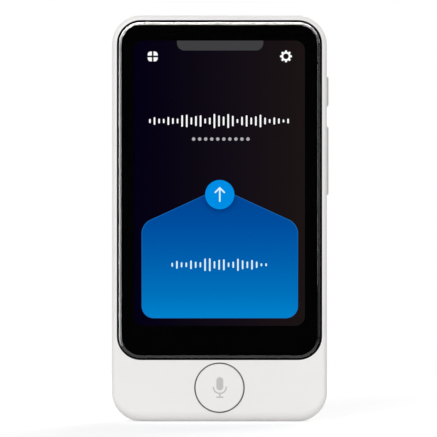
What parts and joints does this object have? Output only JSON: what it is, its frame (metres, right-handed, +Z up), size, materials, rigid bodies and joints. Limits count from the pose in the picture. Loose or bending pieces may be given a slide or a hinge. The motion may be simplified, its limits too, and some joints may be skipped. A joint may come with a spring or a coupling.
{
  "type": "handheld translator",
  "caption": "Upright pocket translator: white housing, glass touch screen, round talk button, side power key and volume rocker, card tray, charging socket, rear camera.",
  "frame": {"origin": "middle of the bottom edge, under the centre of the outline, at half the depth", "axes": "+Z up along the height, -Y out of the glass front, +Y out of the back, +X towards the side with the keys"},
  "size_m": [0.066, 0.0116, 0.1238],
  "materials": {
    "white_plastic": "satin",
    "key_plastic": "satin",
    "cover_glass": "polished",
    "black_rubber": "matt",
    "screen": "gloss",
    "backlight_white": "matt",
    "flex_film": "satin",
    "frame_alloy": "satin",
    "screw_steel": "satin",
    "board_green": "satin",
    "black_plastic": "satin",
    "can_steel": "satin",
    "graphite": "matt",
    "battery_pouch": "satin",
    "white_tape": "matt",
    "card_plastic": "satin",
    "ring_alloy": "polished",
    "clear_film": "clear",
    "lens_glass": "polished",
    "flash_plastic": "gloss",
    "led_yellow": "gloss",
    "mesh_steel": "matt",
    "copper_film": "satin"
  },
  "bodies": {
    "chassis": {"front_housing": "white_plastic", "rear_cover": "white_plastic", "cover_glass": "cover_glass", "glass_gasket": "black_rubber", "bond_film": "clear_film", "lcd_panel": "screen", "backlight": "backlight_white", "display_flex": "flex_film", "mid_frame": "frame_alloy", "frame_screws": "screw_steel", "main_board": "board_green", "main_chips": "black_plastic", "shield_cans": "can_steel", "heat_sheet": "graphite", "board_connectors": "black_plastic", "board_screws": "screw_steel", "lower_board": "board_green", "link_flex": "flex_film", "battery": "battery_pouch", "battery_lead": "flex_film", "battery_tape": "white_tape", "button_switch": "can_steel", "button_flex": "flex_film", "side_key_switches": "can_steel", "side_key_flex": "flex_film", "side_key_bracket": "can_steel", "sim_socket": "can_steel", "usb_shell": "can_steel", "usb_tongue": "black_plastic", "camera_module": "black_plastic", "camera_lens": "lens_glass", "camera_ring": "ring_alloy", "camera_window": "lens_glass", "flash_lens": "flash_plastic", "flash_led": "led_yellow", "speaker": "black_plastic", "speaker_gasket": "black_rubber", "speaker_mesh": "mesh_steel", "microphones": "can_steel", "antennas": "copper_film"},
    "translate_button": {"translate_button": "white_plastic"},
    "power_key": {"power_key": "key_plastic"},
    "volume_rocker": {"volume_rocker": "key_plastic"},
    "card_tray": {"sim_tray": "key_plastic", "sim_card": "card_plastic"}
  },
  "joints": [
    {"name": "translate_button_press", "type": "slide", "parent": "chassis", "child": "translate_button", "axis": [0, 1, 0], "range_m": [0, 0.0003], "stiffness_N_per_m": 1500},
    {"name": "power_key_press", "type": "slide", "parent": "chassis", "child": "power_key", "axis": [-1, 0, 0], "range_m": [0, 0.0003], "stiffness_N_per_m": 2000},
    {"name": "volume_rocker_tilt", "type": "hinge", "parent": "chassis", "child": "volume_rocker", "pos_m": [0.0308, -0.001, 0.0796], "axis": [0, 1, 0], "range_deg": [-1, 1], "stiffness_Nm_per_rad": 0.6},
    {"name": "card_tray_slide", "type": "slide", "parent": "chassis", "child": "card_tray", "axis": [-1, 0, 0], "range_m": [0, 0.019]}
  ]
}
